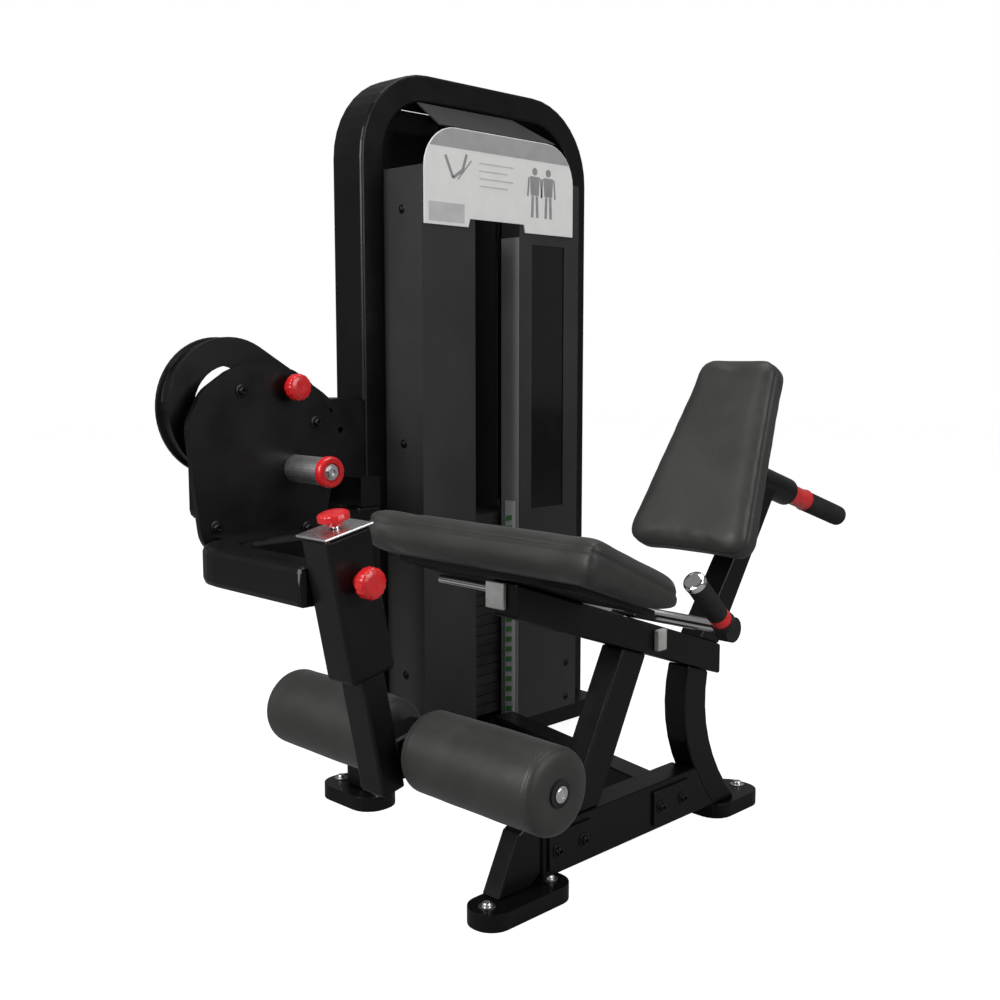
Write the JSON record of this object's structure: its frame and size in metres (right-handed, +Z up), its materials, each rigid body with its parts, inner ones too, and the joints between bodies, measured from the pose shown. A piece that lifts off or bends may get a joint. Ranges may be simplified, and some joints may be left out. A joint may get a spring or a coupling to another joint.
{
  "type": "leg extension machine",
  "caption": "Selectorised leg extension machine with an upright weight-stack tower, cam and swinging lever with padded rollers, and a seat frame with sliding backrest.",
  "frame": {"origin": "on the floor, under the middle of the machine's bounding box", "axes": "+Z up; the seated user faces -Y; the weight tower stands at -X, on the user's right"},
  "size_m": [1.026, 1.4066, 1.535],
  "materials": {
    "frame_paint": "satin black powder coat",
    "shroud_paint": "satin charcoal powder coat",
    "upholstery": "dark grey-black vinyl, fine grain",
    "red_plastic": "gloss red plastic",
    "chrome": "polished chrome",
    "bright_steel": "brushed steel",
    "plate_paint": "black coated steel plate",
    "tinted_window": "dark tinted acrylic",
    "placard": "printed plastic placard",
    "grey_plug": "light grey moulded plastic",
    "black_rubber": "matt black rubber"
  },
  "bodies": {
    "frame": {"axle_cap": "red_plastic", "back_post": "frame_paint", "beam_plug": "grey_plug", "cable_back_run": "black_rubber", "cross_member": "frame_paint", "front_foot": "frame_paint", "front_leg": "frame_paint", "grip_far": "black_rubber", "grip_near": "black_rubber", "guide_rod_left": "chrome", "guide_rod_right": "chrome", "handle_bar": "chrome", "instruction_placard": "placard", "pivot_axle": "chrome", "pivot_bracket": "frame_paint", "pivot_column": "frame_paint", "pulley_hanger": "frame_paint", "rear_foot": "frame_paint", "rear_leg": "frame_paint", "resting_plates": "plate_paint", "seat_beam": "frame_paint", "seat_pad": "upholstery", "seat_plate": "frame_paint", "seat_rail": "frame_paint", "short_leg": "frame_paint", "shroud_left": "shroud_paint", "shroud_rear": "shroud_paint", "shroud_right": "shroud_paint", "stack_cushion": "black_rubber", "top_cover": "shroud_paint", "tower_base": "frame_paint", "tower_foot": "frame_paint", "tower_hoop": "frame_paint", "window_panel": "tinted_window"},
    "pulley": {"top_pulley": "black_rubber"},
    "lifted_stack": {"top_plate": "plate_paint", "weight_plate_02": "plate_paint", "weight_plate_03": "plate_paint", "weight_plate_04": "plate_paint", "weight_plate_05": "plate_paint", "weight_plate_06": "plate_paint", "weight_plate_07": "plate_paint", "selector_rod": "bright_steel", "cable_stack_run": "black_rubber"},
    "stack_pin": {"selector_pin": "red_plastic"},
    "cam": {"cam_wheel": "frame_paint"},
    "lever": {"lever_plate": "frame_paint", "lever_arm": "frame_paint", "post_cap": "bright_steel"},
    "carriage": {"inner_tube": "frame_paint", "top_knob": "red_plastic", "roller_shaft": "chrome"},
    "far_roller": {"roller_far": "upholstery"},
    "near_roller": {"roller_near": "upholstery"},
    "start_knob": {"start_pin": "red_plastic"},
    "height_knob": {"height_pin": "red_plastic"},
    "backrest": {"back_pad": "upholstery", "slide_tube": "frame_paint"},
    "back_release": {"slide_collar": "red_plastic", "slide_grip": "black_rubber"}
  },
  "joints": [
    {"name": "cam_swing", "type": "hinge", "parent": "frame", "child": "cam", "pos_m": [-0.293, -0.425, 0.715], "axis": [-1, 0, 0], "range_deg": [0, 90]},
    {"name": "start_angle", "type": "hinge", "parent": "cam", "child": "lever", "pos_m": [-0.244, -0.425, 0.715], "axis": [-1, 0, 0], "range_deg": [0, 45]},
    {"name": "roller_height", "type": "slide", "parent": "lever", "child": "carriage", "axis": [0, -0.2028, 0.9792], "range_m": [0, 0.1]},
    {"name": "roller_far_spin", "type": "hinge", "parent": "carriage", "child": "far_roller", "pos_m": [0, -0.50809, 0.29637], "axis": [1, 0, 0], "continuous": true},
    {"name": "roller_near_spin", "type": "hinge", "parent": "carriage", "child": "near_roller", "pos_m": [0.36, -0.50809, 0.29637], "axis": [1, 0, 0], "continuous": true},
    {"name": "stack_lift", "type": "slide", "parent": "frame", "child": "lifted_stack", "axis": [0, 0, 1], "range_m": [0, 0.237], "deforming": ["cable_stack_run"]},
    {"name": "selector_pull", "type": "slide", "parent": "lifted_stack", "child": "stack_pin", "axis": [1, 0, 0], "range_m": [0, 0.07]},
    {"name": "pulley_spin", "type": "hinge", "parent": "frame", "child": "pulley", "pos_m": [-0.4575, 0.195, 1.4], "axis": [0, -1, 0], "range_deg": [0, 302]},
    {"name": "start_pin_pull", "type": "slide", "parent": "lever", "child": "start_knob", "axis": [1, 0, 0], "range_m": [0, 0.012], "stiffness_N_per_m": 400},
    {"name": "height_pin_pull", "type": "slide", "parent": "lever", "child": "height_knob", "axis": [1, 0, 0], "range_m": [0, 0.012], "stiffness_N_per_m": 400},
    {"name": "backrest_slide", "type": "slide", "parent": "frame", "child": "backrest", "axis": [0, -0.9511, 0.309], "range_m": [0, 0.09]},
    {"name": "back_release_pull", "type": "slide", "parent": "frame", "child": "back_release", "axis": [0, 0.9511, -0.309], "range_m": [0, 0.012], "stiffness_N_per_m": 1500}
  ],
  "couplings": [
    {"joint": "stack_lift", "follows": "cam_swing", "m_per_rad": 0.1502},
    {"joint": "pulley_spin", "follows": "cam_swing", "ratio": 3.338}
  ]
}
